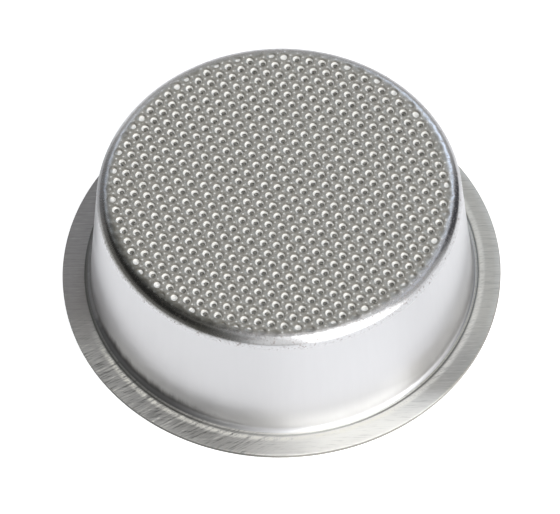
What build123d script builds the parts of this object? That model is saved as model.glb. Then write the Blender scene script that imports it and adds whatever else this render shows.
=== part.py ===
"""Perforated basket drawn from one sheet of stainless steel.

The basket stands mouth down: its flange lies on the plane z = 0, centred on the origin, and its
perforated base faces +Z. All sizes are in millimetres.
"""

from build123d import *

import os
from math import ceil, cos, hypot, radians, sin, sqrt, tan

# Sheet and flange
sheet_thickness = 0.8
flange_width = 4.45
rim_rounding = 0.15

# Drawn cup
base_height = 22.5
mouth_diameter = 61.1
wall_slope = 6.0
foot_fillet = 1.0
corner_radius = 2.0

# Perforation: punched pits on a triangular grid
hole_pitch = 2.06
grid_turn = -13.0
grid_shift_x = -0.31
grid_shift_y = 0.41

# One pit, punched from outside: dished edge, cone and hole
dish_diameter = 1.6
dish_depth = 0.04
pit_diameter = 1.24
pit_depth = 0.46
throat_diameter = 0.68
hole_diameter = 0.38

# The wall's line, outside and inside
slope = tan(radians(wall_slope))
wall_across = sheet_thickness / cos(radians(wall_slope))
mouth_radius = mouth_diameter / 2
flange_radius = mouth_radius + flange_width
inner_height = base_height - sheet_thickness


def outside_radius(z):
    """Radius of the outer wall's straight line at a height."""
    return mouth_radius - (z - sheet_thickness) * slope


def inside_radius(z):
    """Radius of the inner wall's straight line at a height."""
    return outside_radius(z) - wall_across


def sheet_section():
    """Half section of the drawn sheet: flange, foot fillet, wall, base corner and flat base."""
    outside_corners = [
        (flange_radius, sheet_thickness),
        (outside_radius(sheet_thickness), sheet_thickness),
        (outside_radius(base_height), base_height),
        (0, base_height),
    ]
    inside_corners = [
        (0, inner_height),
        (inside_radius(inner_height), inner_height),
        (inside_radius(0), 0),
        (flange_radius, 0),
    ]
    with BuildSketch(Plane.XZ) as section:
        with BuildLine():
            FilletPolyline(*outside_corners, radius=(foot_fillet, corner_radius))
            Line(outside_corners[-1], inside_corners[0])
            FilletPolyline(
                *inside_corners,
                radius=(corner_radius - sheet_thickness, foot_fillet + sheet_thickness),
            )
            Line(inside_corners[-1], outside_corners[0])
        make_face()
        fillet(section.vertices().group_by(Axis.X)[-1], rim_rounding)
    return section.sketch.face()


def flat_base_radius():
    """Radius at which the flat base turns into its rounded corner."""
    corner_centre_z = base_height - corner_radius
    return outside_radius(corner_centre_z) - corner_radius / cos(radians(wall_slope))


def grid_sites():
    """Centres of the punched pits: every grid point whose pit lies wholly on the flat base."""
    reach = flat_base_radius() - dish_diameter / 2
    row_height = hole_pitch * sqrt(3) / 2
    steps = ceil((reach + hypot(grid_shift_x, grid_shift_y)) / row_height) + 1
    turn = radians(grid_turn)
    sites = []
    for row in range(-steps, steps + 1):
        for column in range(-2 * steps, 2 * steps + 1):
            along = (column + row / 2) * hole_pitch
            across = row * row_height
            x = grid_shift_x + along * cos(turn) - across * sin(turn)
            y = grid_shift_y + along * sin(turn) + across * cos(turn)
            if hypot(x, y) <= reach:
                sites.append((x, y))
    return sites


def punched_surfaces():
    """Surfaces of one pit on the axis: its dished edge, its cone and the hole below it."""
    levels = [
        (dish_diameter / 2, base_height),
        (pit_diameter / 2, base_height - dish_depth),
        (throat_diameter / 2, base_height - pit_depth),
        (hole_diameter / 2, inner_height),
    ]
    surfaces = []
    for (start_radius, start_z), (end_radius, end_z) in zip(levels, levels[1:]):
        line = Edge.make_line((start_radius, 0, start_z), (end_radius, 0, end_z))
        surfaces.append(Face.revolve(line, 360, Axis.Z))
    return surfaces


def pierced(face, diameter, sites):
    """A flat round face with a circle left out at each site."""
    level = face.center().Z
    circles = []
    for x, y in sites:
        circle = Edge.make_circle(diameter / 2, Plane((x, y, level)))
        circles.append(Wire([circle]))
    return Face(face.outer_wire(), circles)


def filter_basket():
    """The whole basket as one solid: the drawn sheet with its punched base."""
    blank = revolve(sheet_section(), Axis.Z)
    flats = blank.faces().filter_by(GeomType.PLANE).sort_by(Axis.Z)
    inner_base, outer_base = flats[-2:]
    sites = grid_sites()
    faces = [face for face in blank.faces() if face not in (inner_base, outer_base)]
    faces.append(pierced(outer_base, dish_diameter, sites))
    faces.append(pierced(inner_base, hole_diameter, sites))
    surfaces = punched_surfaces()
    for x, y in sites:
        faces += [surface.moved(Location((x, y, 0))) for surface in surfaces]
    return Solid(Shell(faces))


basket = filter_basket()
os.makedirs("parts", exist_ok=True)
export_step(basket, "parts/filter_basket.step")
print(f"pits {len(grid_sites())}, volume {basket.volume:.1f} mm3, valid {basket.is_valid}")
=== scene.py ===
"""Dresses the espresso filter basket: one sheet of stainless steel, drawn and punched.

The basket stands mouth down on a pale floor. Lengths are metres in the shared frame: the flange
lies on z = 0, the perforated base faces +Z and the camera looks from -Y and above. The finishes
work in millimetres, and left, right, front and back are as the camera sees the basket.
"""

import logging
import random
from dataclasses import dataclass
from enum import Enum
from math import ceil, cos, hypot, pi, radians, sin, sqrt, tan
from typing import Any

import bmesh
import bpy
from mathutils import Matrix, Vector
from mathutils.geometry import delaunay_2d_cdt


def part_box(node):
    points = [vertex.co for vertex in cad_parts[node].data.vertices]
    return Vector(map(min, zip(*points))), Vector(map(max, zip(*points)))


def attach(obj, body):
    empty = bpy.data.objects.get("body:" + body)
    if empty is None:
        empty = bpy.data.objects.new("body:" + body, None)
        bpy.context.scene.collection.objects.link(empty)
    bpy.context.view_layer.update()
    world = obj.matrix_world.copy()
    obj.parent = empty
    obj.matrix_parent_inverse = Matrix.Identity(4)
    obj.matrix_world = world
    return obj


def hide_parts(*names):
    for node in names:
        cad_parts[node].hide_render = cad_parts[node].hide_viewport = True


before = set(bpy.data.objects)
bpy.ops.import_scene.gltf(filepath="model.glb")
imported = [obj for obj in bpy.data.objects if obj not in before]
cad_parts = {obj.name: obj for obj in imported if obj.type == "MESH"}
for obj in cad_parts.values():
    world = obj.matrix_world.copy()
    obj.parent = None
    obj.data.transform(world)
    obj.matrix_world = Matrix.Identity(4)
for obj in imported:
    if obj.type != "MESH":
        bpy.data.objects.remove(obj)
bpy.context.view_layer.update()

log = logging.getLogger("basket")

MM = 0.001
NODE = "filter_basket"
BODY = "root"

Colour = tuple[float, float, float]
Point = tuple[float, float]
Span = tuple[float, float]
Vertices = list[bmesh.types.BMVert]
Places = dict[bmesh.types.BMVert, Point]


class Region(Enum):
    """Surfaces that differ in finish. The value is the material's place on the piece."""

    OUTSIDE = 0
    FLANGE = 1
    INSIDE = 2


def smooth_step(value: float, low: float, high: float) -> float:
    """0 below low, 1 above high and an even S curve between them."""
    share = min(max((value - low) / (high - low), 0.0), 1.0)
    return share * share * (3 - 2 * share)


def bell(distance: float, width: float) -> float:
    """1 at no distance, falling smoothly to 0 at the width."""
    return 1 - smooth_step(abs(distance), 0.0, width)


def arc(centre: Point, radius: float, start: float, end: float, steps: int) -> list[Point]:
    """Points on a round stretch of the section.

    Args:
        centre: Centre as radius and height.
        radius: Radius of the arc.
        start: Angle of the first point, anticlockwise from the outward direction.
        end: Angle of the last point.
        steps: Number of equal parts.

    Returns:
        The points, both ends included.
    """
    points = []
    for step in range(steps + 1):
        angle = start + (end - start) * step / steps
        points.append((centre[0] + radius * cos(angle), centre[1] + radius * sin(angle)))
    return points


def straight(start: Point, end: Point, steps: int) -> list[Point]:
    """Points strictly between the two ends of a straight stretch of the section.

    Args:
        start: First end as radius and height.
        end: Other end as radius and height.
        steps: Number of equal parts.

    Returns:
        The points, without the ends.
    """
    points = []
    for step in range(1, steps):
        share = step / steps
        radius = start[0] + (end[0] - start[0]) * share
        points.append((radius, start[1] + (end[1] - start[1]) * share))
    return points


class Term:
    """A node socket that takes part in Python arithmetic."""

    def __init__(self, shader: "Shader", socket: bpy.types.NodeSocket) -> None:
        """Keeps the socket and the shader that it belongs to."""
        self.shader = shader
        self.socket = socket

    def __add__(self, other: "Term | float") -> "Term":
        """This value plus another."""
        return self.shader.math("ADD", self, other)

    def __radd__(self, other: float) -> "Term":
        """A number plus this value."""
        return self.shader.math("ADD", other, self)

    def __sub__(self, other: "Term | float") -> "Term":
        """This value less another."""
        return self.shader.math("SUBTRACT", self, other)

    def __rsub__(self, other: float) -> "Term":
        """A number less this value."""
        return self.shader.math("SUBTRACT", other, self)

    def __mul__(self, other: "Term | float") -> "Term":
        """This value times another."""
        return self.shader.math("MULTIPLY", self, other)

    def __rmul__(self, other: float) -> "Term":
        """A number times this value."""
        return self.shader.math("MULTIPLY", other, self)

    def __truediv__(self, other: "Term | float") -> "Term":
        """This value divided by another."""
        return self.shader.math("DIVIDE", self, other)

    def __abs__(self) -> "Term":
        """This value without its sign."""
        return self.shader.math("ABSOLUTE", self)


@dataclass(frozen=True)
class Layer:
    """A colour that lies over the steel, and the share of it that shows where it is thickest."""

    colour: Colour
    share: float = 1.0


@dataclass(frozen=True)
class Spot:
    """Place of a point on the basket in millimetres, with its distance and angle round the axis."""

    place: Term
    x: Term
    y: Term
    z: Term
    radius: Term
    angle: Term


@dataclass(frozen=True)
class Patch:
    """A part of the basket with soft limits.

    Each span goes from where the part is absent to where it is full: in millimetres for x, y and
    z, and in degrees for the two ends of its stretch round the axis.
    """

    x: Span | None = None
    y: Span | None = None
    z: Span | None = None
    from_angle: Span | None = None
    to_angle: Span | None = None

    def mask(self, shader: "Shader", spot: Spot) -> Term:
        """Finds the part on the basket.

        Args:
            shader: Shader of the finish.
            spot: Place of the point.

        Returns:
            1 in the part and 0 outside it.
        """
        mask = 1.0
        for value, span in ((spot.x, self.x), (spot.y, self.y), (spot.z, self.z)):
            if span:
                mask = shader.smooth(value, *span) * mask
        for span in (self.from_angle, self.to_angle):
            if span:
                mask = shader.smooth(spot.angle, radians(span[0]), radians(span[1])) * mask
        return mask


@dataclass(frozen=True)
class Look:
    """Colour, roughness and relief height of a surface."""

    colour: Term
    roughness: Term
    height: Term


class Shader:
    """Builds the node tree of one material or world."""

    def __init__(self, tree: bpy.types.NodeTree) -> None:
        """Starts on an empty tree."""
        self.tree = tree
        tree.nodes.clear()

    def node(self, kind: str, settings: dict[str, Any] | None = None,
             inputs: dict[Any, Any] | None = None, output: str | int = 0) -> Term | None:
        """Adds a node, sets it up and links it.

        Args:
            kind: Blender's name for the type of node.
            settings: Properties of the node, which are set first.
            inputs: Values or links of its sockets, by name or number.
            output: The output socket wanted, by name or number.

        Returns:
            The output as a term, or None for a node without outputs.
        """
        node = self.tree.nodes.new(kind)
        for name, value in (settings or {}).items():
            setattr(node, name, value)
        for name, value in (inputs or {}).items():
            if isinstance(value, Term):
                self.tree.links.new(value.socket, node.inputs[name])
            else:
                node.inputs[name].default_value = value
        return Term(self, node.outputs[output]) if node.outputs else None

    def math(self, operation: str, *values: Term | float) -> Term:
        """Works out one operation on numbers."""
        return self.node("ShaderNodeMath", {"operation": operation}, dict(enumerate(values)))

    def smooth(self, value: Term, low: float, high: float) -> Term:
        """Turns a value into a share by an even S curve.

        Args:
            value: What the share follows.
            low: Where the share is 0. It may be the larger of the two.
            high: Where the share is 1.

        Returns:
            The share, from 0 to 1.
        """
        settings = {"interpolation_type": "SMOOTHSTEP"}
        inputs = {"Value": value, "From Min": low, "From Max": high}
        return self.node("ShaderNodeMapRange", settings, inputs)

    def between(self, share: Term, low: Term | float, high: Term | float) -> Term:
        """Goes from low to high as the share goes from 0 to 1."""
        return share * (high - low) + low

    def spread(self, share: Term, middle: float, reach: float) -> Term:
        """Goes from the reach below the middle to the reach above it."""
        return self.between(share, middle - reach, middle + reach)

    def tint(self, share: Term, first: Term | Colour, second: Term | Colour) -> Term:
        """Mixes two colours.

        Args:
            share: Part of the second colour, from 0 to 1.
            first: Colour at 0.
            second: Colour at 1.

        Returns:
            The mixed colour.
        """
        colours = [c if isinstance(c, Term) else (*c, 1.0) for c in (first, second)]
        inputs = {0: share, 6: colours[0], 7: colours[1]}
        return self.node("ShaderNodeMix", {"data_type": "RGBA"}, inputs, 2)

    def lay(self, under: Term | Colour, layer: Layer, mask: Term) -> Term:
        """Lays a layer over a colour where the mask is above 0."""
        return self.tint(layer.share * mask, under, layer.colour)

    def vector(self, x: Term | float, y: Term | float, z: Term | float = 0.0) -> Term:
        """A vector from its three parts."""
        return self.node("ShaderNodeCombineXYZ", None, {0: x, 1: y, 2: z})

    def parts(self, vector: Term) -> tuple[Term, Term, Term]:
        """The three parts of a vector."""
        split = self.node("ShaderNodeSeparateXYZ", None, {0: vector}).socket.node
        return tuple(Term(self, socket) for socket in split.outputs)

    def spot(self) -> Spot:
        """Finds the point that is shaded.

        Returns:
            Its place on the piece.
        """
        metres = self.node("ShaderNodeTexCoord", None, None, "Object")
        inputs = {0: metres, "Scale": 1 / MM}
        place = self.node("ShaderNodeVectorMath", {"operation": "SCALE"}, inputs)
        x, y, z = self.parts(place)
        radius = self.math("SQRT", x * x + y * y)
        return Spot(place, x, y, z, radius, self.math("ARCTAN2", y, x))

    def noise(self, vector: Term, scale: float = 1.0, detail: float = 2.0,
              roughness: float = 0.5) -> Term:
        """Smooth noise from 0 to 1, with a cell of one over the scale."""
        inputs = {"Vector": vector, "Scale": scale, "Detail": detail, "Roughness": roughness}
        return self.node("ShaderNodeTexNoise", None, inputs)

    def streaks(self, spot: Spot, angle: float, length: float, width: float, seed: float) -> Term:
        """Noise drawn out along one direction of the flange's plane.

        Args:
            spot: Place of the point.
            angle: Direction of the streaks from +X.
            length: Length of a streak in millimetres.
            width: Width of a streak in millimetres.
            seed: Offset that sets one pattern apart from another.

        Returns:
            The noise, from 0 to 1.
        """
        along = spot.x * (cos(angle) / length) + spot.y * (sin(angle) / length)
        across = spot.y * (cos(angle) / width) - spot.x * (sin(angle) / width)
        return self.noise(self.vector(along, across, seed), detail=3.0, roughness=0.6)


@dataclass(frozen=True)
class SteelFinish:
    """What all finishes of the sheet share: a metal with a colour, a roughness and a relief."""

    name: str
    relief: float

    def surface(self, shader: Shader) -> Look:
        """Works out the look at the point that is shaded. Each finish has its own."""
        raise NotImplementedError

    def material(self) -> bpy.types.Material:
        """Builds the material from the finish.

        Returns:
            The material, new in the file.
        """
        material = bpy.data.materials.new(self.name)
        material.use_nodes = True
        shader = Shader(material.node_tree)
        look = self.surface(shader)
        inputs = {"Height": look.height, "Strength": 1.0, "Distance": self.relief}
        normal = shader.node("ShaderNodeBump", None, inputs, "Normal")
        inputs = {"Base Color": look.colour, "Metallic": 1.0, "Roughness": look.roughness,
                  "Normal": normal}
        steel = shader.node("ShaderNodeBsdfPrincipled", None, inputs)
        shader.node("ShaderNodeOutputMaterial", None, {"Surface": steel})
        return material


@dataclass(frozen=True)
class PunchedAndDrawn(SteelFinish):
    """Satin base with bright punched pits, running over the corner into the bright wall.

    Lengths are in millimetres. Depths are below the unpunched sheet, and pits_end, wall_start and
    corner_shade_start are measured outward from the edge of the flat base. The spans named after waves and
    noise hold values of those patterns.
    """

    base_height: float
    flat_radius: float
    corner_radius: float
    pitch: float
    grid_turn: float
    grid_shift: Point
    base_colour: Colour = (0.575, 0.535, 0.47)
    mottling: Layer = Layer((0.42, 0.41, 0.38), 0.32)
    light_grain: Layer = Layer((0.86, 0.84, 0.79))
    dark_grain: Layer = Layer((0.30, 0.29, 0.26), 0.75)
    # Painted shade round each pit.
    pit_halo_shade: Layer = Layer((0.24, 0.225, 0.19), 0.45)
    pip: Layer = Layer((1.0, 0.995, 0.98), 0.9)
    pit_colour: Colour = (1.0, 0.995, 0.98)
    # Painted shade deep in each pit: a duller throat and a dark line at the hole.
    throat: Layer = Layer((0.66, 0.65, 0.62))
    throat_edge_shade: Layer = Layer((0.20, 0.195, 0.18), 0.8)
    wall_colour: Colour = (0.72, 0.72, 0.74)
    # Painted light on the low wall.
    painted_low_wall_light: Layer = Layer((0.96, 0.96, 0.98))
    draw_line: Layer = Layer((0.6, 0.6, 0.62), 0.22)
    # Darker patches high on the wall at the back left.
    wall_darkening: Layer = Layer((0.22, 0.225, 0.24), 0.8)
    scuff: Layer = Layer((0.32, 0.275, 0.265), 0.85)
    # Painted shade in the wall's foot.
    painted_foot_shade: Layer = Layer((0.07, 0.07, 0.07))
    # Painted shade on the base's corner at the front left.
    painted_corner_shade: Layer = Layer((0.15, 0.145, 0.12), 0.8)
    pit_depths: Span = (0.03, 0.10)
    throat_shade_depths: Span = (0.42, 0.60)
    throat_edge_shade_above: Span = (0.38, 0.46)
    throat_edge_shade_below: Span = (0.60, 0.50)
    pits_end: Span = (1.6, 1.3)
    wall_start: Span = (-0.3, 0.9)
    corner_below: Span = (2.2, 1.5)
    pip_waves: Span = (-1.33, -1.45)
    pit_halo_waves: Span = (-1.0, -0.3)
    light_grain_noise: Span = (0.52, 0.7)
    dark_grain_noise: Span = (0.48, 0.32)
    scuff_noise: Span = (0.53, 0.66)
    # Parts of the low wall that get painted light.
    lit_low_wall_parts: tuple[Patch, ...] = (
        Patch(x=(-12.0, -24.0), z=(10.0, 4.0)),
        Patch(x=(12.0, 24.0), z=(10.0, 4.0)),
        Patch(x=(-5.0, 6.0), z=(6.0, 2.2)),
    )
    darkened_part: Patch = Patch(x=(-23.5, -27.5), y=(-8.0, -1.0))
    darkening_heights: Span = (13.0, 20.0)
    darkening_waver: float = 6.0
    foot_shade_left: Patch = Patch(x=(-4.0, -20.0))
    foot_shade_right: Patch = Patch(x=(14.0, 30.0))
    foot_shade_broadly: Patch = Patch(from_angle=(-168.0, -150.0), to_angle=(-98.0, -124.0))
    foot_shade_start: Span = (29.6, 30.4)
    foot_shade_fade: Span = (1.7, -0.5)
    corner_shaded: Patch = Patch(from_angle=(-185.0, -160.0), to_angle=(-98.0, -118.0))
    corner_shade_below: Span = (1.3, 0.4)
    corner_shade_start: Span = (-0.9, 0.9)
    base_roughness: float = 0.36
    grain_roughness: float = 0.07
    pit_roughness: float = 0.90
    wall_roughness: float = 0.26
    corner_roughness: float = 0.14
    band_roughness: float = 0.08
    line_roughness: float = 0.05
    scuff_roughness: float = 0.22
    foot_shade_roughness: float = 0.2
    grain_height: float = 1.5
    mottle_height: float = 0.8
    pip_height: float = 0.5
    dish_depth: float = 1.1
    line_height: float = 0.35
    scuff_height: float = 0.9

    def surface(self, shader: Shader) -> Look:
        """Joins the base, the pits' inside and the drawn wall, and lays painted shade in the wall's
        foot on them.

        Args:
            shader: Shader of the finish.

        Returns:
            The look of the sheet's punched and drawn outside.
        """
        spot = shader.spot()
        past_flat = spot.radius - self.flat_radius
        depth = self.depth(shader, spot, past_flat)
        in_pit = shader.smooth(depth, *self.pit_depths) * shader.smooth(past_flat, *self.pits_end)
        on_wall = shader.smooth(past_flat, *self.wall_start)
        upright = shader.vector(spot.angle * 26.0, spot.z * 0.12, 4.0)
        lines = shader.noise(upright, detail=3.0, roughness=0.6)
        speckle = shader.noise(spot.place, scale=2.6, detail=4.0, roughness=0.75)

        plate = self.plate(shader, spot)
        drawn = self.drawn(shader, spot, lines, speckle)
        colour = shader.tint(on_wall, plate.colour, drawn.colour)
        # Painted shade on the base's corner at the front left.
        colour = shader.lay(colour, self.painted_corner_shade, self.corner_shade(shader, spot, past_flat, speckle))
        colour = shader.tint(in_pit, colour, self.pit_inside(shader, depth))
        roughness = shader.between(on_wall, plate.roughness, drawn.roughness)
        roughness = shader.between(in_pit, roughness, self.pit_roughness)

        # Painted shade in the wall's foot.
        foot_shade_share = self.foot_shade(shader, spot, lines, speckle)
        colour = shader.lay(colour, self.painted_foot_shade, foot_shade_share)
        roughness = roughness + self.foot_shade_roughness * foot_shade_share
        return Look(colour, roughness, shader.between(on_wall, plate.height, drawn.height))

    def depth(self, shader: Shader, spot: Spot, past_flat: Term) -> Term:
        """Measures how far the point lies below the sheet before it was punched.

        Args:
            shader: Shader of the finish.
            spot: Place of the point.
            past_flat: Distance outward from the edge of the flat base.

        Returns:
            The depth below the flat base or below its rounded corner.
        """
        across = shader.math("MAXIMUM", past_flat, 0.0)
        square = shader.math("MAXIMUM", self.corner_radius ** 2 - across * across, 0.0)
        arc_height = shader.math("SQRT", square)
        return self.base_height - self.corner_radius + arc_height - spot.z

    def plate(self, shader: Shader, spot: Spot) -> Look:
        """Grained sheet between the pits, with painted shade round each and a pip between three.

        Args:
            shader: Shader of the finish.
            spot: Place of the point.

        Returns:
            The look of the base.
        """
        mottle = shader.noise(spot.place, scale=0.35, detail=3.0, roughness=0.6)
        grain = shader.noise(spot.place, scale=3.2, detail=4.0, roughness=0.7)
        waves = self.waves(shader, spot)
        pips = shader.smooth(waves, *self.pip_waves)
        light = shader.smooth(grain, *self.light_grain_noise)
        dark = shader.smooth(grain, *self.dark_grain_noise)
        colour = shader.lay(self.base_colour, self.mottling, mottle)
        colour = shader.lay(colour, self.light_grain, light)
        colour = shader.lay(colour, self.dark_grain, dark)
        # Painted shade: darkens the sheet round each pit.
        colour = shader.lay(colour, self.pit_halo_shade, shader.smooth(waves, *self.pit_halo_waves))
        colour = shader.lay(colour, self.pip, pips)
        roughness = shader.spread(grain, self.base_roughness, self.grain_roughness)
        roughness = shader.between(pips, roughness, self.pit_roughness)
        height = self.grain_height * grain + self.mottle_height * mottle
        height = height + self.pip_height * pips - self.dish_depth * waves
        return Look(colour, roughness, height)

    def waves(self, shader: Shader, spot: Spot) -> Term:
        """Three crossed waves that repeat with the pits' grid.

        Args:
            shader: Shader of the finish.
            spot: Place of the point.

        Returns:
            Their sum: 3 at a pit's centre and -1.5 midway between three pits.
        """
        x = spot.x - self.grid_shift[0]
        y = spot.y - self.grid_shift[1]
        along = x * cos(self.grid_turn) + y * sin(self.grid_turn)
        across = y * cos(self.grid_turn) - x * sin(self.grid_turn)
        step = 2 * pi / self.pitch
        first = shader.math("COSINE", along * step - across * (step / sqrt(3)))
        second = shader.math("COSINE", across * (2 * step / sqrt(3)))
        third = shader.math("COSINE", along * step + across * (step / sqrt(3)))
        return first + second + third

    def pit_inside(self, shader: Shader, depth: Term) -> Term:
        """Colour in a pit: bright cone, with painted shade as a dark line where it meets the hole
        and as a duller throat.

        Args:
            shader: Shader of the finish.
            depth: Depth below the sheet.

        Returns:
            The colour.
        """
        # Painted shade darkens the deep throat and the line at the hole.
        throat = shader.smooth(depth, *self.throat_shade_depths)
        colour = shader.lay(self.pit_colour, self.throat, throat)
        line = shader.smooth(depth, *self.throat_edge_shade_above)
        line = line * shader.smooth(depth, *self.throat_edge_shade_below)
        return shader.lay(colour, self.throat_edge_shade, line)

    def drawn(self, shader: Shader, spot: Spot, lines: Term, speckle: Term) -> Look:
        """Bright wall with upright lines from the drawing, painted light low at the sides and
        front, darker patches high at the back left, and the scuffed corner above it.

        Args:
            shader: Shader of the finish.
            spot: Place of the point.
            lines: Noise in upright lines.
            speckle: Fine noise.

        Returns:
            The look of the wall and the corner.
        """
        bands = shader.noise(shader.vector(spot.angle * 1.4, spot.z * 0.2, 9.0))
        corner = shader.smooth(self.base_height - spot.z, *self.corner_below)
        scuffs = shader.smooth(speckle, *self.scuff_noise) * corner
        # Painted light: the low wall at the left, right and front is lightened.
        pale = self.lit_low_wall_parts[0].mask(shader, spot)
        for part in self.lit_low_wall_parts[1:]:
            pale = shader.math("MAXIMUM", pale, part.mask(shader, spot))
        colour = shader.lay(self.wall_colour, self.painted_low_wall_light, pale)
        colour = shader.lay(colour, self.draw_line, lines)
        # Darker patches high on the wall at the back left.
        colour = shader.lay(colour, self.wall_darkening, self.darkening_mask(shader, spot, bands))
        colour = shader.lay(colour, self.scuff, scuffs)
        roughness = shader.between(corner, self.wall_roughness, self.corner_roughness)
        roughness = roughness + self.band_roughness * bands + self.line_roughness * lines
        roughness = roughness + self.scuff_roughness * scuffs
        height = self.line_height * lines + self.scuff_height * (speckle * corner)
        return Look(colour, roughness, height)

    def darkening_mask(self, shader: Shader, spot: Spot, bands: Term) -> Term:
        """Mask of the darker patches high on the wall at the back left."""
        high = shader.smooth(spot.z + self.darkening_waver * bands, *self.darkening_heights)
        return high * self.darkened_part.mask(shader, spot)

    def foot_shade(self, shader: Shader, spot: Spot, lines: Term, speckle: Term) -> Term:
        """Painted shade in the wall's foot: a thin line at the left, broad at the front left.

        Args:
            shader: Shader of the finish.
            spot: Place of the point.
            lines: Noise in upright lines that frays the shade's edge.
            speckle: Fine noise that breaks it up.

        Returns:
            How much painted shade there is, from 0 to 1.
        """
        broad = self.foot_shade_broadly.mask(shader, spot)
        top = 0.55 + 0.3 * lines + 0.4 * speckle + broad * (0.5 + 1.6 * lines)
        band = shader.smooth(spot.z - top, *self.foot_shade_fade)
        band = band * shader.smooth(spot.radius, *self.foot_shade_start)
        left = self.foot_shade_left.mask(shader, spot)
        right = self.foot_shade_right.mask(shader, spot)
        return band * (0.85 * left + 0.3 * right)

    def corner_shade(self, shader: Shader, spot: Spot, past_flat: Term, speckle: Term) -> Term:
        """Painted shade, speckled, on the base's corner at the front left.

        Args:
            shader: Shader of the finish.
            spot: Place of the point.
            past_flat: Distance outward from the edge of the flat base.
            speckle: Fine noise that breaks it up.

        Returns:
            How much painted shade there is, from 0 to 1.
        """
        high = shader.smooth(self.base_height - spot.z - 0.6 * speckle, *self.corner_shade_below)
        outer = shader.smooth(past_flat + speckle, *self.corner_shade_start)
        return high * outer * self.corner_shaded.mask(shader, spot)


@dataclass(frozen=True)
class FlangeZones:
    """Parts of the flange that look different, each as a mask."""

    left: Term
    right: Term
    front: Term
    front_left: Term
    back_left: Term


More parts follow.
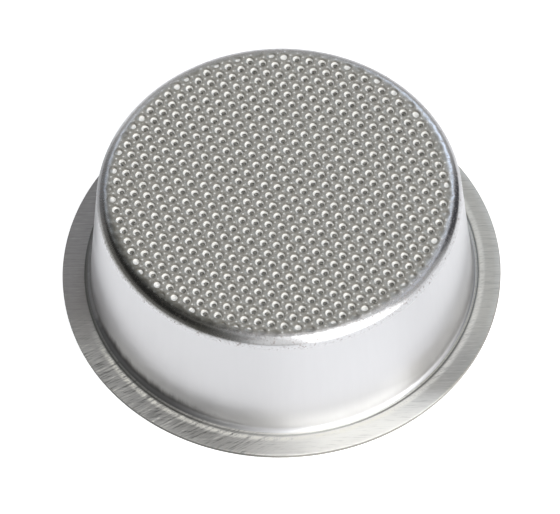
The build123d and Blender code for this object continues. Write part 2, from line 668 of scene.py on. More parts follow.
@dataclass(frozen=True)
class BrushedFlange(SteelFinish):
    """Flange with the mill's straight grain, crossed by slanting scratches at the front left.

    Lengths are in millimetres. The spans of the teeth, the groove's painted shade and the crease's
    painted shade are measured outward from the crease at the wall's foot.
    """

    colour: Colour = (0.70, 0.69, 0.665)
    # Painted reflections on the flange: the right side's tones and the lit front.
    right_reflection_colour: Colour = (0.66, 0.635, 0.58)
    right_front_shade_colour: Colour = (0.49, 0.47, 0.435)
    # Painted shade on the flange's cut edge.
    edge_shade_colour: Colour = (0.17, 0.17, 0.16)
    front_edge_shade_colour: Colour = (0.46, 0.45, 0.42)
    left_shade: Layer = Layer((0.41, 0.39, 0.38))
    painted_front_light: Layer = Layer((1.0, 0.995, 0.975))
    dark_streak: Layer = Layer((0.16, 0.16, 0.15))
    light_streak: Layer = Layer((0.98, 0.97, 0.93))
    tooth: Layer = Layer((0.98, 0.97, 0.93), 0.9)
    # Painted shade in the groove at the crease.
    groove_shade: Layer = Layer((0.16, 0.16, 0.15))
    # Painted shade in the crease at the left.
    crease_shade: Layer = Layer((0.16, 0.16, 0.15), 0.65)
    roughness: float = 0.42
    patch_roughness: float = 0.06
    scratch_roughness: float = 0.42
    left_roughness: float = 0.15
    front_tilt: float = 12.0
    left: Patch = Patch(x=(-8.0, -24.0))
    right: Patch = Patch(x=(18.0, 23.0), y=(-28.0, -23.0))
    right_back: Patch = Patch(y=(-20.0, -9.0))
    front: Patch = Patch(x=(-8.0, 8.0), y=(-22.0, -31.0))
    front_left: Patch = Patch(from_angle=(-172.0, -150.0), to_angle=(-86.0, -104.0))
    front_right: Patch = Patch(from_angle=(-105.0, -85.0), to_angle=(5.0, -40.0))
    back_left: Patch = Patch(x=(-20.0, -28.0), y=(-18.0, -8.0))
    faint_groove_shade: Patch = Patch(y=(-26.0, -32.0))
    dark_noise: Span = (0.52, 0.30)
    light_noise: Span = (0.52, 0.72)
    tooth_noise: Span = (0.36, 0.56)
    teeth_start: Span = (0.0, 0.25)
    teeth_end: Span = (1.5, 0.9)
    groove_shade_reach: Span = (0.20, 0.06)
    crease_shade_reach: Span = (0.05, -0.05)
    crease_radius: float = 31.45
    middle_radius: float = 33.2
    edge_radius: float = 34.85
    thickness: float = 0.8
    slant: float = radians(28.0)

    def surface(self, shader: Shader) -> Look:
        """Lays the streaks, the toothed band at the crease and painted shade in the crease, groove
        and cut edge on the plain flange.

        Args:
            shader: Shader of the finish.

        Returns:
            The look of the flange.
        """
        spot = shader.spot()
        zones = self.zones(shader, spot)
        straight_grain = shader.streaks(spot, angle=0.0, length=4.5, width=0.26, seed=2.0)
        fine_grain = shader.streaks(spot, angle=0.0, length=1.6, width=0.15, seed=7.0)
        scratches = shader.streaks(spot, angle=self.slant, length=3.6, width=0.34, seed=5.0)
        milled = 0.6 * straight_grain + 0.4 * fine_grain
        scratched = 0.75 * scratches + 0.25 * straight_grain
        grain = shader.between(zones.front_left, milled, scratched)
        dark = shader.smooth(grain, *self.dark_noise)
        light = shader.smooth(grain, *self.light_noise)
        contrast = 0.35 + 0.55 * zones.front_left

        across_teeth = shader.vector(spot.angle * 150.0, spot.radius * 1.2, 3.0)
        teeth = shader.noise(across_teeth, detail=3.0, roughness=0.7)
        past_crease = spot.radius - self.crease_radius
        band = shader.smooth(past_crease + 0.5 * teeth, *self.teeth_end)
        band = band * shader.smooth(past_crease - 0.2 * teeth, *self.teeth_start)
        toothed = band * shader.smooth(0.5 * teeth + 0.5 * scratches, *self.tooth_noise)
        toothed = toothed * (1.0 - zones.back_left) * (1.0 - 0.4 * zones.right)

        colour = self.plain(shader, spot, zones)
        dark_share = dark * contrast * (1.0 - 0.6 * zones.front)
        colour = shader.lay(colour, self.dark_streak, dark_share)
        colour = shader.lay(colour, self.light_streak, light * contrast)
        colour = shader.lay(colour, self.tooth, toothed)
        colour = self.rim(shader, spot, colour)
        # Painted shade in the groove at the crease.
        groove_shade = shader.smooth(abs(past_crease + 0.12 * teeth), *self.groove_shade_reach)
        groove_shade = groove_shade * shader.between(self.faint_groove_shade.mask(shader, spot), 0.85, 0.3)
        colour = shader.lay(colour, self.groove_shade, groove_shade)
        # Painted shade in the crease at the left.
        crease_shade = shader.smooth(past_crease + 0.1 * teeth, *self.crease_shade_reach)
        colour = shader.lay(colour, self.crease_shade, crease_shade * zones.left)

        patches = shader.noise(spot.place, scale=0.3)
        roughness = shader.spread(patches, self.roughness, self.patch_roughness)
        worn = shader.math("MAXIMUM", light * (0.3 + 0.7 * zones.front_left), toothed)
        worn = shader.math("MAXIMUM", worn, zones.front)
        roughness = roughness + self.scratch_roughness * worn
        roughness = roughness + self.left_roughness * zones.left
        height = grain * (1.0 + 3.0 * zones.front_left + 4.0 * zones.front)
        height = height + 0.8 * (band * teeth)
        height = height - self.front_tilt * (zones.front * (spot.radius - self.middle_radius))
        return Look(colour, roughness, height)

    def zones(self, shader: Shader, spot: Spot) -> FlangeZones:
        """Divides the flange by where the camera sees it."""
        parts = (self.left, self.right, self.front, self.front_left, self.back_left)
        return FlangeZones(*(part.mask(shader, spot) for part in parts))

    def plain(self, shader: Shader, spot: Spot, zones: FlangeZones) -> Term:
        """Colour under the streaks, with painted reflections: shaded left, lit front, and a
        reflected tone on the right that is darker at its front.

        Args:
            shader: Shader of the finish.
            spot: Place of the point.
            zones: Parts of the flange.

        Returns:
            The colour.
        """
        shaded = zones.left * (1.0 - 0.75 * zones.front_left)
        colour = shader.lay(self.colour, self.left_shade, shaded)
        # Painted reflection: the right side's tone, darker towards its front.
        right_back = self.right_back.mask(shader, spot)
        right_reflection_colour = shader.tint(right_back, self.right_front_shade_colour, self.right_reflection_colour)
        colour = shader.tint(zones.right, colour, right_reflection_colour)
        # Painted light on the front of the flange.
        return shader.lay(colour, self.painted_front_light, zones.front)

    def rim(self, shader: Shader, spot: Spot, colour: Term) -> Term:
        """Puts painted shade on the flange's cut edge, less dark at the front right.

        Args:
            shader: Shader of the finish.
            spot: Place of the point.
            colour: Colour of the flange.

        Returns:
            The colour of the flange and its edge.
        """
        # Painted shade on the cut edge.
        edge = shader.smooth(spot.z, self.thickness - 0.05, self.thickness - 0.20)
        edge = edge * shader.smooth(spot.radius, self.edge_radius - 0.1, self.edge_radius)
        front_right = self.front_right.mask(shader, spot)
        edge_shade_colour = shader.tint(front_right, self.edge_shade_colour, self.front_edge_shade_colour)
        return shader.tint(edge, colour, edge_shade_colour)


@dataclass(frozen=True)
class CupInside(SteelFinish):
    """Plain satin of the cup's inside, with faint rings and upright lines from the drawing."""

    colour: Colour = (0.60, 0.60, 0.59)
    mottling: Layer = Layer((0.42, 0.42, 0.41), 0.6)
    ring: Layer = Layer((0.42, 0.42, 0.41), 0.25)
    roughness: float = 0.31
    ring_roughness: float = 0.07
    ring_height: float = 0.6
    line_height: float = 0.5

    def surface(self, shader: Shader) -> Look:
        """Lays mottling and rings on the plain steel.

        Args:
            shader: Shader of the finish.

        Returns:
            The look of the cup's inside.
        """
        spot = shader.spot()
        level = shader.vector(spot.angle * 1.5, spot.z * 5.0, spot.radius * 5.0)
        upright = shader.vector(spot.angle * 30.0, spot.z * 0.15, 1.0)
        rings = shader.noise(level, detail=3.0, roughness=0.6)
        lines = shader.noise(upright, detail=3.0, roughness=0.6)
        mottle = shader.noise(spot.place, scale=0.4, detail=3.0, roughness=0.6)
        colour = shader.lay(self.colour, self.mottling, mottle)
        colour = shader.lay(colour, self.ring, rings)
        roughness = shader.spread(rings, self.roughness, self.ring_roughness)
        return Look(colour, roughness, self.ring_height * rings + self.line_height * lines)


@dataclass(frozen=True)
class DrawnCup:
    """The drawn sheet without its base: corner, wall, crease, flange, rim and inside."""

    flange_radius: float
    base_height: float
    thickness: float = 0.8 * MM
    flange_width: float = 4.45 * MM
    rim_rounding: float = 0.15 * MM
    wall_slope: float = radians(6.0)
    foot_fillet: float = 1.0 * MM
    corner_radius: float = 2.0 * MM
    base_reach: float = 1.5 * MM
    ridge_height: float = 0.03 * MM
    groove_depth: float = 0.03 * MM
    ridge_width: float = 0.11 * MM
    ridge_inset: float = 0.36 * MM
    groove_width: float = 0.143 * MM
    groove_offset: float = 0.02 * MM
    line_step: float = 0.05 * MM
    crease_angle: float = radians(240.0)
    crease_steps: int = 21
    corner_steps: int = 10
    inner_corner_steps: int = 8
    wall_steps: int = 5
    foot_steps: int = 12
    flange_steps: int = 3
    rim_steps: int = 4
    segments: int = 192

    def outside_radius(self, z: float) -> float:
        """Radius of the outer wall's straight line at a height."""
        mouth = self.flange_radius - self.flange_width
        return mouth - (z - self.thickness) * tan(self.wall_slope)

    @property
    def corner_centre(self) -> Point:
        """Centre of the base corner's two arcs; its radius is that of the flat base."""
        z = self.base_height - self.corner_radius
        return self.outside_radius(z) - self.corner_radius / cos(self.wall_slope), z

    @property
    def foot_centre(self) -> Point:
        """Centre of the two arcs at the wall's foot; its radius is that of the crease."""
        z = self.thickness + self.foot_fillet
        return self.outside_radius(z) + self.foot_fillet / cos(self.wall_slope), z

    @property
    def reach_angle(self) -> float:
        """How far round the corner the base's own mesh goes, from straight up."""
        return self.base_reach / self.corner_radius

    def crease(self) -> list[Point]:
        """Section from the fillet's last part to the flat flange, with the die's two fine lines.

        Returns:
            Points as radius and height.
        """
        foot_radius, foot_z = self.foot_centre
        start = foot_radius + self.foot_fillet * cos(self.crease_angle)
        points = []
        for step in range(1, self.crease_steps + 1):
            radius = start + step * self.line_step
            past_foot = radius - foot_radius
            level = self.thickness
            if past_foot < 0:
                level = foot_z - sqrt(self.foot_fillet ** 2 - past_foot ** 2)
            rise = self.ridge_height * bell(past_foot + self.ridge_inset, self.ridge_width)
            fall = self.groove_depth * bell(past_foot - self.groove_offset, self.groove_width)
            points.append((radius, level + rise - fall))
        return points

    def section(self) -> list[tuple[Point, Region]]:
        """Section from the edge of the base's mesh round the rim to the base's inner face.

        Returns:
            Points as radius and height, each with the region of the strip that starts there.
        """
        upright = pi / 2
        rim = self.rim_rounding
        edge = self.flange_radius - rim
        wall_end = pi + self.wall_slope
        corner_start = upright - self.reach_angle
        corner = arc(self.corner_centre, self.corner_radius, corner_start, self.wall_slope,
                     self.corner_steps)
        foot = arc(self.foot_centre, self.foot_fillet, wall_end, self.crease_angle, self.foot_steps)
        outside = corner + straight(corner[-1], foot[0], self.wall_steps) + foot

        flange = self.crease()
        flange += straight(flange[-1], (edge, self.thickness), self.flange_steps)
        flange += arc((edge, self.thickness - rim), rim, upright, 0.0, self.rim_steps)
        flange += arc((edge, rim), rim, 0.0, -upright, self.rim_steps)

        inner_foot = self.foot_fillet + self.thickness
        inner_corner = self.corner_radius - self.thickness
        foot = arc(self.foot_centre, inner_foot, 3 * upright, wall_end, self.foot_steps)
        corner = arc(self.corner_centre, inner_corner, self.wall_slope, upright,
                     self.inner_corner_steps)
        inside = foot + straight(foot[-1], corner[0], self.wall_steps) + corner

        section = [(point, Region.OUTSIDE) for point in outside]
        section += [(point, Region.FLANGE) for point in flange]
        section += [(point, Region.INSIDE) for point in inside]
        return section

    def build(self, mesh: bmesh.types.BMesh) -> tuple[Vertices, Vertices]:
        """Turns the section round the axis.

        Args:
            mesh: Mesh that the strips are added to.

        Returns:
            The vertices of the first and the last ring.
        """
        rings = []
        for (radius, z), _ in self.section():
            ring = []
            for segment in range(self.segments):
                turn = 2 * pi * segment / self.segments
                ring.append(mesh.verts.new((radius * cos(turn), radius * sin(turn), z)))
            rings.append(ring)
        for (_, region), upper, lower in zip(self.section(), rings, rings[1:]):
            for segment in range(self.segments):
                corners = (upper[segment - 1], upper[segment], lower[segment], lower[segment - 1])
                mesh.faces.new(corners).material_index = region.value
        return rings[0], rings[-1]


@dataclass(frozen=True)
class PunchedBase:
    """The base: a flat sheet with pits punched down through it on a triangular grid.

    The throat of each pit lies a little to the right of its mouth. The outermost pits have no hole
    and are partly ironed flat.
    """

    cup: DrawnCup
    pitch: float = 2.06 * MM
    grid_turn: float = radians(-13.0)
    grid_shift_x: float = -0.31 * MM
    grid_shift_y: float = 0.41 * MM
    dish_radius: float = 0.80 * MM
    dish_depth: float = 0.04 * MM
    mouth_radius: float = 0.62 * MM
    pit_depth: float = 0.46 * MM
    throat_radius: float = 0.34 * MM
    hole_radius: float = 0.19 * MM
    ironed_from: float = 25.2 * MM
    ironed_to: float = 26.6 * MM
    ironed_share: float = 0.75
    slip: float = 0.18 * MM
    wander: float = 0.03 * MM
    raggedness: float = 0.03
    crown: float = 0.012 * MM
    dish_curve: float = 1.5
    corner_clearance: float = 0.1 * MM
    merge_within: float = 1e-6
    sides: int = 16
    dish_steps: int = 2
    cone_steps: int = 3
    corner_rings: int = 6
    seed: int = 5

    def sites(self, reach: float) -> list[Point]:
        """Finds the grid's points.

        Args:
            reach: Furthest that a point may be from the axis.

        Returns:
            The points, row by row.
        """
        row_height = self.pitch * sqrt(3) / 2
        steps = ceil((reach + hypot(self.grid_shift_x, self.grid_shift_y)) / row_height) + 1
        sites = []
        for row in range(-steps, steps + 1):
            for column in range(-2 * steps, 2 * steps + 1):
                along = (column + row / 2) * self.pitch
                across = row * row_height
                x = self.grid_shift_x + along * cos(self.grid_turn) - across * sin(self.grid_turn)
                y = self.grid_shift_y + along * sin(self.grid_turn) + across * cos(self.grid_turn)
                if hypot(x, y) <= reach:
                    sites.append((x, y))
        return sites

    @property
    def pierced_reach(self) -> float:
        """Furthest that the centre of a pit with a hole is from the axis."""
        return self.cup.corner_centre[0] - self.dish_radius

    @property
    def ironed_reach(self) -> float:
        """Furthest that the centre of a pit without a hole is from the axis, round the corner."""
        return self.ironed_to + 0.5 * self.mouth_radius

    @property
    def edge_reach(self) -> float:
        """Distance of the outer sheet's edge from the axis, round the corner."""
        return self.cup.corner_centre[0] + self.cup.base_reach

    def drape(self, x: float, y: float, lift: float) -> Vector:
        """Lays a point of the unrolled base on the base, past its flat part round the corner.

        Args:
            x: Place on the unrolled base.
            y: Place on the unrolled base.
            lift: Height above the sheet's outer face.

        Returns:
            The point in space.
        """
        flat, corner_z = self.cup.corner_centre
        distance = hypot(x, y)
        if distance <= flat:
            return Vector((x, y, self.cup.base_height + lift))
        turn = (distance - flat) / self.cup.corner_radius
        radius = flat + (self.cup.corner_radius + lift) * sin(turn)
        z = corner_z + (self.cup.corner_radius + lift) * cos(turn)
        return Vector((x / distance * radius, y / distance * radius, z))

    def pit_section(self) -> list[Point]:
        """Section of one pit: down its dished edge and down its cone.

        Returns:
            Points as radius and height above the sheet's outer face.
        """
        points = []
        for step in range(self.dish_steps + 1):
            share = step / self.dish_steps
            radius = self.dish_radius + (self.mouth_radius - self.dish_radius) * share
            sink = (self.dish_depth - self.crown) * share ** self.dish_curve
            points.append((radius, -self.crown - sink))
        slope = (self.pit_depth - self.dish_depth) / (self.mouth_radius - self.throat_radius)
        for step in range(1, self.cone_steps + 1):
            share = step / self.cone_steps
            radius = self.mouth_radius + (self.throat_radius - self.mouth_radius) * share
            points.append((radius, -self.dish_depth - slope * (self.mouth_radius - radius)))
        return points

    def circle(self, site: Point, radius: float) -> list[Point]:
        """Places round a site, one for each side of a pit.

        Args:
            site: Centre of the circle.
            radius: Radius of the circle.

        Returns:
            The places, anticlockwise.
        """
        points = []
        for side in range(self.sides):
            turn = 2 * pi * side / self.sides
            points.append((site[0] + radius * cos(turn), site[1] + radius * sin(turn)))
        return points

    def pit(self, mesh: bmesh.types.BMesh, site: Point, chance: random.Random,
            closed: bool) -> tuple[Vertices, Vertices]:
        """Adds the rings and strips of one pit.

        Args:
            mesh: Mesh that the pit is added to.
            site: Centre of the pit on the unrolled base.
            chance: Source of the small differences between pits.
            closed: True for a pit at the edge that was ironed down, which has no hole.

        Returns:
            The pit's first and last ring of vertices.
        """
        # The first draw of each pit is left unused, which keeps the later ones in their order.
        chance.random()
        lean = chance.uniform(0.0, 2 * pi)
        waver = chance.uniform(0.0, 2 * pi)
        shift_x = self.slip + chance.uniform(-self.wander, self.wander)
        shift_y = chance.uniform(-self.wander, self.wander)
        section = self.pit_section()
        if closed:
            section = [(radius, self.ironed_share * height) for radius, height in section]
        rings = []
        for level, (radius, height) in enumerate(section):
            share = level / (len(section) - 1)
            uneven = 4 * share * (1 - share) * self.raggedness
            ring = []
            for side in range(self.sides):
                turn = 2 * pi * side / self.sides
                ragged = 1 + uneven * (cos(3 * turn + waver) + cos(2 * turn + lean))
                x = site[0] + radius * ragged * cos(turn) + shift_x * share
                y = site[1] + radius * ragged * sin(turn) + shift_y * share
                lift = height
                if closed:
                    lift *= 1 - smooth_step(hypot(x, y), self.ironed_from, self.ironed_to)
                ring.append(mesh.verts.new(self.drape(x, y, lift)))
            rings.append(ring)
        for upper, lower in zip(rings, rings[1:]):
            self.strip(mesh, upper, lower, Region.OUTSIDE)
        if closed:
            mesh.faces.new(rings[-1]).material_index = Region.OUTSIDE.value
        return rings[0], rings[-1]

    def strip(self, mesh: bmesh.types.BMesh, first: Vertices, second: Vertices,
              region: Region) -> None:
        """Joins two rings of vertices by a strip of faces.

        Args:
            mesh: Mesh that the faces are added to.
            first: One ring.
            second: The other ring.
            region: Region of the faces.
        """
        for side in range(self.sides):
            corners = (first[side - 1], first[side], second[side], second[side - 1])
            mesh.faces.new(corners).material_index = region.value

    def sheet(self, mesh: bmesh.types.BMesh, loops: list[Vertices], loose: Vertices,
              places: Places, region: Region) -> None:
        """Fills one face of the sheet between its edge and the loops of vertices in it.

        Args:
            mesh: Mesh that the triangles are added to.
            loops: The edge's vertices first, then those of each pit or bore.
            loose: Further vertices that lie in the face.
            places: Place of each vertex on the unrolled base.
            region: Region of the triangles.
        """
        vertices = [vertex for loop in loops for vertex in loop] + loose
        flat = [Vector(places[vertex]) / MM for vertex in vertices]
        faces = []
        start = 0
        for loop in loops:
            faces.append(list(range(start, start + len(loop))))
            start += len(loop)
        inside_edge = 1
        filled = delaunay_2d_cdt(flat, [], faces, inside_edge, self.merge_within, True)
        _, _, triangles, sources, _, owners = filled
        for triangle, owner in zip(triangles, owners):
            if list(owner) == [0]:
                corners = [vertices[sources[corner][0]] for corner in triangle]
                mesh.faces.new(corners).material_index = region.value

    def build(self, mesh: bmesh.types.BMesh, outer_edge: Vertices, inner_edge: Vertices) -> int:
        """Adds both faces of the base and everything punched through it.

        Args:
            mesh: Mesh that the base is added to.
            outer_edge: Vertices of the cup's first ring, which the outer face joins.
            inner_edge: Vertices of the cup's last ring, which the inner face joins.

        Returns:
            The number of pits with a hole.
        """
        chance = random.Random(self.seed)
        inner_z = self.cup.base_height - self.cup.thickness
        pierced = self.sites(self.pierced_reach)
        sites = self.sites(self.ironed_reach)
        outer_loops = [outer_edge]
        inner_loops = [inner_edge]
        places = {}
        for vertex in outer_edge:
            place = Vector(vertex.co.xy).normalized() * self.edge_reach
            places[vertex] = (place.x, place.y)
        for vertex in inner_edge:
            places[vertex] = (vertex.co.x, vertex.co.y)
        for site in sites:
            closed = site not in pierced
            mouth, throat = self.pit(mesh, site, chance, closed)
            places.update(zip(mouth, self.circle(site, self.dish_radius)))
            outer_loops.append(mouth)
            if closed:
                continue
            bore = []
            for x, y in self.circle(site, self.hole_radius):
                vertex = mesh.verts.new((x, y, inner_z))
                places[vertex] = (x, y)
                bore.append(vertex)
            self.strip(mesh, throat, bore, Region.OUTSIDE)
            inner_loops.append(bore)
        loose = self.corner_vertices(mesh, sites, places)
        loose += self.crown_vertices(mesh, pierced, places)
        self.sheet(mesh, outer_loops, loose, places, Region.OUTSIDE)
        self.sheet(mesh, inner_loops, [], places, Region.INSIDE)
        return len(pierced)

    def crown_vertices(self, mesh: bmesh.types.BMesh, sites: list[Point],
                       places: Places) -> Vertices:
        """Vertices where the sheet stays highest, midway between each three pits.

        Args:
            mesh: Mesh that the vertices are added to.
            sites: Centres of the pits with a hole.
            places: Place of each vertex on the unrolled base, which gains the new ones.

        Returns:
            The new vertices.
        """
        vertices = []
        midway = self.pitch / sqrt(3)
        for x, y in sites:
            for turn in (self.grid_turn + radians(30.0), self.grid_turn + radians(90.0)):
                spot = (x + midway * cos(turn), y + midway * sin(turn))
                if hypot(*spot) < self.pierced_reach - self.mouth_radius:
                    vertex = mesh.verts.new(self.drape(*spot, 0.0))
                    places[vertex] = spot
                    vertices.append(vertex)
        return vertices

    def corner_vertices(self, mesh: bmesh.types.BMesh, sites: list[Point],
                        places: Places) -> Vertices:
        """Vertices that carry the sheet round the corner, between the ironed pits.

        Args:
            mesh: Mesh that the vertices are added to.
            sites: Centres of all pits on the unrolled base.
            places: Place of each vertex on the unrolled base, which gains the new ones.

        Returns:
            The new vertices.
        """
        clear = self.dish_radius + self.corner_clearance
        near = [site for site in sites if hypot(*site) > self.pierced_reach - self.pitch]
        start = self.cup.corner_centre[0]
        vertices = []
        for ring in range(self.corner_rings):
            distance = start + (self.edge_reach - start) * ring / self.corner_rings
            for segment in range(self.cup.segments):
                turn = 2 * pi * (segment + 0.5 * (ring % 2)) / self.cup.segments
                x, y = distance * cos(turn), distance * sin(turn)
                if all(hypot(x - site[0], y - site[1]) > clear for site in near):
                    vertex = mesh.verts.new(self.drape(x, y, 0.0))
                    places[vertex] = (x, y)
                    vertices.append(vertex)
        return vertices


@dataclass(frozen=True)
class FilterBasket:
    """The whole basket as one piece that stands for its CAD node."""

    cup: DrawnCup
    base: PunchedBase
    finishes: tuple[SteelFinish, ...]
    smooth_below: float = radians(48.0)

    def build(self) -> bpy.types.Object:
        """Builds the mesh, dresses it and puts it in the CAD node's place.

        Returns:
            The piece.
        """
        mesh = bmesh.new()
        outer_edge, inner_edge = self.cup.build(mesh)
        holes = self.base.build(mesh, outer_edge, inner_edge)
        bmesh.ops.recalc_face_normals(mesh, faces=mesh.faces)
        open_edges = sum(1 for edge in mesh.edges if not edge.is_manifold)
        data = bpy.data.meshes.new("basket_steel")
        mesh.to_mesh(data)
        mesh.free()
        data.shade_smooth()
        data.set_sharp_from_angle(angle=self.smooth_below)
        for finish in self.finishes:
            data.materials.append(finish.material())
        piece = bpy.data.objects.new("basket_steel", data)
        bpy.context.scene.collection.objects.link(piece)
        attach(piece, BODY)
        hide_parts(NODE)
        data.calc_loop_triangles()
        log.info("%s: %d holes, %d triangles, %d open edges", piece.name, holes,
                 len(data.loop_triangles), open_edges)
        return piece


@dataclass(frozen=True)
class Panel:
    """One lit or dark part of the studio round the basket, by the direction it is seen in."""

    azimuth: float
    elevation: float
    width: float
    height: float
    edge: float
    colour: Colour


@dataclass(frozen=True)
class Studio:
    """Floor, surrounding light and camera."""

    picture_width: int = 560
    focal_pixels: float = 3671.0
    elevation: float = radians(55.73)
    roll: float = radians(1.71)
    distance: float = 587.2 * MM
    shift_right: float = 0.176 * MM
    shift_up: float = -2.164 * MM
    sensor: float = 36.0
    floor_size: float = 6.0
    floor_colour: Colour = (0.80, 0.80, 0.80)
    floor_glow: float = 0.80
    glow_under_cup: float = 0.12
    floor_sheen: float = 0.42
    floor_sheen_behind: float = 0.22
    floor_sheen_ahead: float = 0.12
    behind_reach: float = 90.0
    ahead: Point = (0.42, -0.91)
    ahead_share: Span = (0.82, 1.0)
    cup_shade: Span = (33.0, 34.5)
    room: Colour = (0.45, 0.45, 0.44)
    panels: tuple[Panel, ...] = (
        Panel(90.0, 86.0, 360.0, 24.0, 10.0, (0.34, 0.34, 0.34)),
        Panel(90.0, 62.0, 60.0, 24.0, 14.0, (0.40, 0.40, 0.39)),
        Panel(138.0, 64.0, 76.0, 24.0, 10.0, (0.07, 0.07, 0.07)),
        Panel(184.0, 46.0, 88.0, 40.0, 18.0, (0.045, 0.045, 0.045)),
        Panel(185.0, 14.0, 90.0, 22.0, 16.0, (0.36, 0.36, 0.36)),
        Panel(238.0, 32.0, 36.0, 60.0, 16.0, (0.18, 0.18, 0.17)),
        Panel(27.0, 24.0, 32.0, 42.0, 12.0, (0.05, 0.05, 0.055)),
        Panel(22.0, 53.0, 52.0, 12.0, 8.0, (0.72, 0.75, 0.82)),
        Panel(64.0, 42.0, 24.0, 28.0, 8.0, (1.4, 1.6, 1.9)),
        Panel(121.0, 41.0, 24.0, 18.0, 6.0, (1.15, 1.26, 1.42)),
        Panel(266.0, 50.0, 26.0, 80.0, 14.0, (0.85, 0.85, 0.84)),
        Panel(340.0, 6.0, 44.0, 24.0, 12.0, (0.8, 0.8, 0.8)),
        Panel(36.0, 79.0, 110.0, 14.0, 8.0, (1.2, 1.2, 1.19)),
        Panel(307.0, 41.0, 46.0, 78.0, 10.0, (3.2, 3.2, 3.17)),
    )

    def floor(self) -> bpy.types.Object:
        """Adds the pale floor, which keeps the basket's shadow.

        Returns:
            The floor.
        """
        half = self.floor_size / 2
        data = bpy.data.meshes.new("floor")
        corners = [(-half, -half, 0.0), (half, -half, 0.0), (half, half, 0.0), (-half, half, 0.0)]
        data.from_pydata(corners, [], [(0, 1, 2, 3)])
        floor = bpy.data.objects.new("floor", data)
        bpy.context.scene.collection.objects.link(floor)
        material = bpy.data.materials.new("pale floor")
        material.use_nodes = True
        shader = Shader(material.node_tree)
        seen = self.seen_rays(shader)
        inputs = {
            "Base Color": (*self.floor_colour, 1.0),
            "Roughness": 1.0,
            "Specular IOR Level": 0.0,
            "Emission Color": shader.vector(seen, seen, seen),
            "Emission Strength": 1.0,
        }
        paint = shader.node("ShaderNodeBsdfPrincipled", None, inputs)
        shader.node("ShaderNodeOutputMaterial", None, {"Surface": paint})
        data.materials.append(material)
        return floor

    def seen_rays(self, shader: Shader) -> Term:
        """The floor's own light: full for the camera and through glass, less in reflections.

        Args:
            shader: Shader of the floor.

        Returns:
            The brightness of the light, which is low under the cup.
        """
        paths = shader.node("ShaderNodeLightPath").socket.node
        rays = ("Is Camera Ray", "Is Transmission Ray", "Is Glossy Ray")
        camera, transmission, glossy = (Term(shader, paths.outputs[name]) for name in rays)
        direct = self.floor_glow * shader.math("MAXIMUM", camera, transmission)
        spot = shader.spot()
        behind = shader.smooth(spot.y, 0.0, self.behind_reach)
        sheen = shader.between(behind, self.floor_sheen, self.floor_sheen_behind)
        towards = (self.ahead[0] * spot.x + self.ahead[1] * spot.y) / spot.radius
        sheen = sheen + self.floor_sheen_ahead * shader.smooth(towards, *self.ahead_share)
        clear = shader.smooth(spot.radius, *self.cup_shade)
        beside_cup = shader.between(clear, self.glow_under_cup, 1.0)
        return beside_cup * shader.math("MAXIMUM", direct, sheen * glossy)

    def window(self, shader: Shader, offset: Term, size: float, edge: float) -> Term:
        """Limits a panel in one direction.

        Args:
            shader: Shader of the studio.
            offset: Angle from the panel's middle.
            size: Panel's size in degrees.
            edge: Width of its soft edge in degrees.

        Returns:
            1 on the panel and 0 beside it.
        """
        half = radians(size) / 2
        soft = radians(edge) / 2
        return shader.smooth(abs(offset), half + soft, half - soft)

    def surroundings(self) -> bpy.types.World:
        """Builds the studio's light as a world: white to the camera, panels to the steel.

        Returns:
            The world.
        """
        world = bpy.data.worlds.new("studio")
        world.use_nodes = True
        shader = Shader(world.node_tree)
        direction = shader.node("ShaderNodeTexCoord", None, None, "Generated")
        x, y, z = shader.parts(direction)
        azimuth = shader.math("ARCTAN2", y, x)
        elevation = shader.math("ARCSINE", z)
        light = self.room
        for panel in self.panels:
            sideways = shader.math("WRAP", azimuth - radians(panel.azimuth), pi, -pi)
            upward = elevation - radians(panel.elevation)
            mask = self.window(shader, sideways, panel.width, panel.edge)
            mask = mask * self.window(shader, upward, panel.height, panel.edge)
            light = shader.tint(mask, light, panel.colour)
        studio = shader.node("ShaderNodeBackground", None, {"Color": light, "Strength": 1.0})
        white = shader.node("ShaderNodeBackground", None, {"Color": (1.0, 1.0, 1.0, 1.0)})
        camera = shader.node("ShaderNodeLightPath", None, None, "Is Camera Ray")
        both = shader.node("ShaderNodeMixShader", None, {0: camera, 1: studio, 2: white})
        shader.node("ShaderNodeOutputWorld", None, {"Surface": both})
        bpy.context.scene.world = world
        return world

    def camera(self) -> bpy.types.Object:
        """Places the camera at the photograph's viewing angle.

        Returns:
            The camera.
        """
        tilt, roll = self.elevation, self.roll
        side = Vector((1.0, 0.0, 0.0))
        up = Vector((0.0, sin(tilt), cos(tilt)))
        back = Vector((0.0, -cos(tilt), sin(tilt)))
        place = -self.shift_right * side - self.shift_up * up + self.distance * back
        right_axis = cos(roll) * side - sin(roll) * up
        up_axis = sin(roll) * side + cos(roll) * up
        data = bpy.data.cameras.new("camera")
        data.sensor_fit = "HORIZONTAL"
        data.sensor_width = self.sensor
        data.lens = self.sensor * self.focal_pixels / self.picture_width
        camera = bpy.data.objects.new("camera", data)
        axes = Matrix((right_axis, up_axis, back)).transposed()
        camera.matrix_world = Matrix.Translation(place) @ axes.to_4x4()
        bpy.context.scene.collection.objects.link(camera)
        bpy.context.scene.camera = camera
        return camera

    def build(self) -> None:
        """Adds everything that isn't the basket."""
        self.floor()
        self.surroundings()
        self.camera()
        bpy.context.scene.view_settings.view_transform = "Standard"
        log.info("studio: floor, %d panels, camera", len(self.panels))


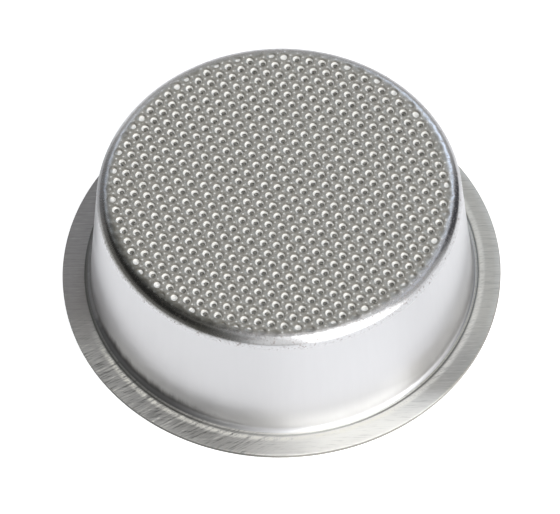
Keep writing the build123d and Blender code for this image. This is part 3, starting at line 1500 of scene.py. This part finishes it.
def main() -> None:
    """Builds the basket and its studio, and notes the size of the CAD node."""
    logging.basicConfig(level=logging.INFO, format="%(message)s")
    low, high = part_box(NODE)
    log.info("%s in the frame: %.2f by %.2f by %.2f mm", NODE, *((high - low) / MM))
    cup = DrawnCup(flange_radius=35.0 * MM, base_height=22.5 * MM)
    base = PunchedBase(cup)
    finishes = (
        PunchedAndDrawn(
            name="punched and drawn steel",
            relief=0.010 * MM,
            base_height=cup.base_height / MM,
            flat_radius=cup.corner_centre[0] / MM,
            corner_radius=cup.corner_radius / MM,
            pitch=base.pitch / MM,
            grid_turn=base.grid_turn,
            grid_shift=(base.grid_shift_x / MM, base.grid_shift_y / MM),
        ),
        BrushedFlange(name="brushed flange", relief=0.014 * MM),
        CupInside(name="cup inside", relief=0.004 * MM),
    )
    FilterBasket(cup, base, finishes).build()
    Studio().build()


if __name__ == "__main__":
    main()
